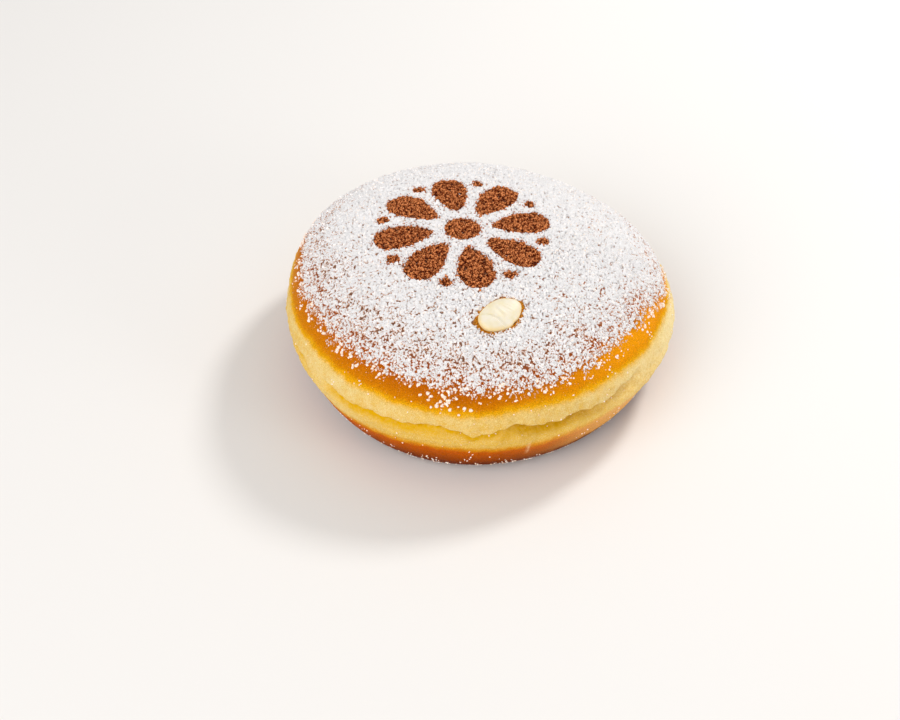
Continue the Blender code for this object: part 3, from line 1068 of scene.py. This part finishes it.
# Painted shade in the cocoa's low relief and painted highlight on its tops, broken up by fine speckle.
high = times_plus(attribute("relief"), 0.35 / MM, fine)
paint(shader, ramp(high, (0.42, COCOA_CREVICE_SHADE), (0.5, COCOA), (0.58, COCOA_HIGHLIGHT)))
bump(shader, fine, 0.45 * MM)

# %% [markdown]
# The sugar is laid in three tiles from front to back, each with its own spacing, finest at the
# front. They overlap a little. Under the cocoa the sugar is drawn down, so the flower shows.

# %% Sugar coat
TILES = ((-60, -17, 0.150), (-17, 3, 0.152), (3, 60, 0.220))  # from y, to y and spacing in mm
TILE_OVERLAP = 0.3 * MM
TILE_MARGIN = 2 * MM
BELOW_EDGE = 4.5 * MM
COCOA_BED = 0.65 * MM
SUGAR_RELIEF = (0.58, 0.58, 0.29, 0.56, 0.72)  # clumps, grains: size and height, then drifts, in mm
powder = powder_tree()


def coat(name, points, cells, cover, low, high, relief, material):
    """A patch grown into powder, trimmed to the rows from low to high."""
    host = mesh_piece("host", points, cells, {"cover": cover})
    sizes = dict(zip(RELIEF_SIZES, (MM * size for size in relief)))
    return grow(host, powder, {**sizes, "From y": low, "To y": high, "Material": material}, name)


coats = []
for part, tile in enumerate(TILES, 1):
    low, high, spacing = (MM * size for size in tile)

    def near_sugar(points, angle, height):
        in_tile = (points[:, 1] > low - TILE_MARGIN) & (points[:, 1] < high + TILE_MARGIN)
        return in_tile & (height > edge_height(angle) - BELOW_EDGE)

    points, cells, angle, height = dome_patch(spacing, near_sugar)
    cover = sugar_cover(points, angle, height)
    cover = cover - COCOA_BED * smooth_step(stencil_distance(points), -0.2 * MM, 0.6 * MM)
    rows = (low - TILE_OVERLAP, high)
    coats.append(coat(f"sugar_coat_{part}", points, cells, cover, *rows, SUGAR_RELIEF, sugar_material))

# %% [markdown]
# The cocoa's edge is ragged, because the stencil lies a little above the sugar.

# %% Cocoa coat
COCOA_SPACING = 0.17 * MM
COCOA_RELIEF = (0.75, 0.70, 0.42, 0.70, 0.45)


def near_flower(points, angle, height):
    return stencil_distance(points) > -1.6 * MM


points, cells, angle, height = dome_patch(COCOA_SPACING, near_flower)
uneven = 1.1 * MM * rough(points, 2.2 * MM, 21.0) + 1.3 * MM * rough(points, 0.8 * MM, 22.0)
distance = stencil_distance(points) + uneven
cover = 0.30 * MM + 0.55 * np.clip(distance - 0.15 * MM, -1.6 * MM, 0.25 * MM)
rows = (-60 * MM, 60 * MM)
cocoa = coat("cocoa_flower", points, cells, cover, *rows, COCOA_RELIEF, cocoa_material)

# %% [markdown]
# ### Loose grains
#
# Single grains and small clumps lie on the coats, stray over the bare crust below the sugar's
# edge, and gather along the foot. A second tree scatters round pebbles over a surface, each
# turned, squashed and made lumpy, by the number per square millimetre stored on that surface.

# %% Geometry Nodes for loose grains
def grain_tree():
    tree, given = geometry_tree("loose_grains", ("Smallest", "Largest", "Lumpiness", "Detail", "Seed"))
    spread = {"Mesh": given["Geometry"], "Density": times(named("fall"), 1 / MM**2)}
    spread = add("GeometryNodeDistributePointsOnFaces", {**spread, "Seed": given["Seed"]})
    turns = {0: (0, 0, 0), 1: (6.283, 6.283, 6.283)}
    turn = add("FunctionNodeRandomValue", turns, data_type="FLOAT_VECTOR").outputs[0]
    small = add("ShaderNodeCombineXYZ", {axis: given["Smallest"] for axis in range(3)}).outputs[0]
    large = add("ShaderNodeCombineXYZ", {axis: given["Largest"] for axis in range(3)}).outputs[0]
    sizes = {0: small, 1: large, "Seed": 5}
    size = add("FunctionNodeRandomValue", sizes, data_type="FLOAT_VECTOR").outputs[0]
    ball = add("GeometryNodeMeshIcoSphere", {"Radius": 1.0, "Subdivisions": given["Detail"]}).outputs[0]
    pebbles = {"Points": spread.outputs["Points"], "Instance": ball, "Rotation": turn, "Scale": size}
    pebbles = add("GeometryNodeInstanceOnPoints", pebbles).outputs[0]
    real = add("GeometryNodeRealizeInstances", {"Geometry": pebbles}).outputs[0]
    push = wavering(add("GeometryNodeInputPosition").outputs[0], 0.35 * MM)
    offset = vector_maths("SCALE", push, given["Lumpiness"])
    lumpy = add("GeometryNodeSetPosition", {"Geometry": real, "Offset": offset}).outputs[0]
    finish_tree(lumpy, given["Material"])
    return tree


grains = grain_tree()


def loose(name, surface, fall, smallest, largest, lumpiness, detail, seed, material):
    """Grains on a surface, fall of them per square millimetre, with their sizes in millimetres."""
    host = mesh_piece("host", *surface, {"fall": fall})
    values = {"Smallest": smallest * MM, "Largest": largest * MM, "Lumpiness": lumpiness * MM}
    return grow(host, grains, {**values, "Detail": detail, "Seed": seed, "Material": material}, name)


def read(items, field, width, kind=np.float32):
    """One field of all items, as an array with a row for each."""
    values = np.empty(width * len(items), kind)
    items.foreach_get(field, values)
    return values.reshape(-1, width)


def surface_of(pieces):
    """Points and triangles of several pieces taken together."""
    points, faces, first = [], [], 0
    for piece in pieces:
        piece.data.calc_loop_triangles()
        points.append(read(piece.data.vertices, "co", 3))
        faces.append(read(piece.data.loop_triangles, "vertices", 3, np.int32) + first)
        first += len(points[-1])
    return np.concatenate(points), np.concatenate(faces)


# %% [markdown]
# The coats carry grains wherever the sugar lies thick, but not where the cocoa will be.

# %% Grains on the sugar
CLUMPS_FALL = 0.22
GRAINS_PER_CLUMP = 3.45

on_coats = surface_of(coats)
coat_lift = np.concatenate([read(tile.data.attributes["lift"].data, "value", 1)[:, 0] for tile in coats])
fall = CLUMPS_FALL * smooth_step(coat_lift, 0.05 * MM, 0.3 * MM)
fall = fall * (stencil_distance(on_coats[0]) < -0.5 * MM)
clumps = loose("sugar_clumps", on_coats, fall, 0.16, 0.36, 0.30, 2, 1, sugar_grain)
fall = fall * GRAINS_PER_CLUMP
fine_grains = loose("sugar_grains", on_coats, fall, 0.09, 0.21, 0.12, 1, 2, sugar_grain)

# %% [markdown]
# Below the sugar's edge single grains lie in patches on the bare crust, a few on the band, and more
# along the foot at the front. The largest clumps lie along the coat's edge, most of them in one spill.

# %% Strays on the bare crust and along the foot
on_skin = surface_of([dough])
skin_points = on_skin[0]
skin_angle = np.append(flat_angle, [0, 0])
skin_height = np.append(flat_height, [0, HEIGHT])
under_edge = (skin_height - edge_height(skin_angle)) / MM
patchy = smooth_step(rough(skin_points, 2.5 * MM, 31.0), -0.1, 0.5)
flanks = 0.8 + 1.6 * facing(skin_angle, 354, 9)
strays = 1.3 * hump(under_edge, 2.4) * patchy * flanks
side = 0.10 * patchy * (under_edge < 0) * (skin_height > 8 * MM)
front_side = np.clip(-np.sin(skin_angle) + 0.35, 0, 1)
heaps = smooth_step(rough(skin_points, 6 * MM, 35.0), -0.15, 0.45)
foot_line = 2.2 * front_side * (0.05 + 0.95 * patchy * heaps) * smooth_step(skin_height, 0.5 * MM, 1.6 * MM)
foot_line = foot_line * (1 - smooth_step(skin_height, 2.4 * MM, 5.5 * MM))
fall = strays + side + foot_line + 0.25 * patchy * (skin_height < 9 * MM)
fall = fall * (around_hole(skin_points)[0] > 1 * MM) * (skin_height > 0.1 * MM)
stray_grains = loose("sugar_strays", on_skin, fall, 0.08, 0.28, 0.22, 2, 3, stray_sugar)

spill = facing(skin_angle, 261, 4.5) * hump(skin_height - 23.6 * MM, 1.4 * MM)
along_edge = 0.9 * hump(under_edge + 0.7, 1.1) * smooth_step(rough(skin_points, 3 * MM, 33.0), -0.2, 0.4)
fall = 1.5 * spill + along_edge
large_clumps = loose("sugar_spill", on_skin, fall, 0.20, 0.50, 0.45, 3, 6, stray_sugar)

# %% [markdown]
# Cocoa grains cover the flower, and a few are spilled round its edge.

# %% Loose cocoa
COCOA_FALL = 1.7

on_powder = surface_of([cocoa, *coats])
on_cocoa = np.arange(len(on_powder[0])) < len(cocoa.data.vertices)
off_edge = stencil_distance(on_powder[0]) / MM
spilled = 1.5 * hump(off_edge + 0.3, 0.5) + 0.10 * hump(off_edge + 0.8, 1.2)
fall = np.where(on_cocoa, COCOA_FALL, spilled)
cocoa_grains = loose("cocoa_grains", on_powder, fall, 0.08, 0.20, 0.12, 1, 4, cocoa_material)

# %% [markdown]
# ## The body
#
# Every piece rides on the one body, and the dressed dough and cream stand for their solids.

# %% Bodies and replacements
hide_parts("dough")
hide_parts("cream")
powders = [*coats, cocoa, clumps, fine_grains, stray_grains, large_clumps, cocoa_grains]
for piece, finish in ((dough, "dough"), (cream, "cream"), *((heap, "dough") for heap in powders)):
    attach(piece, "root")
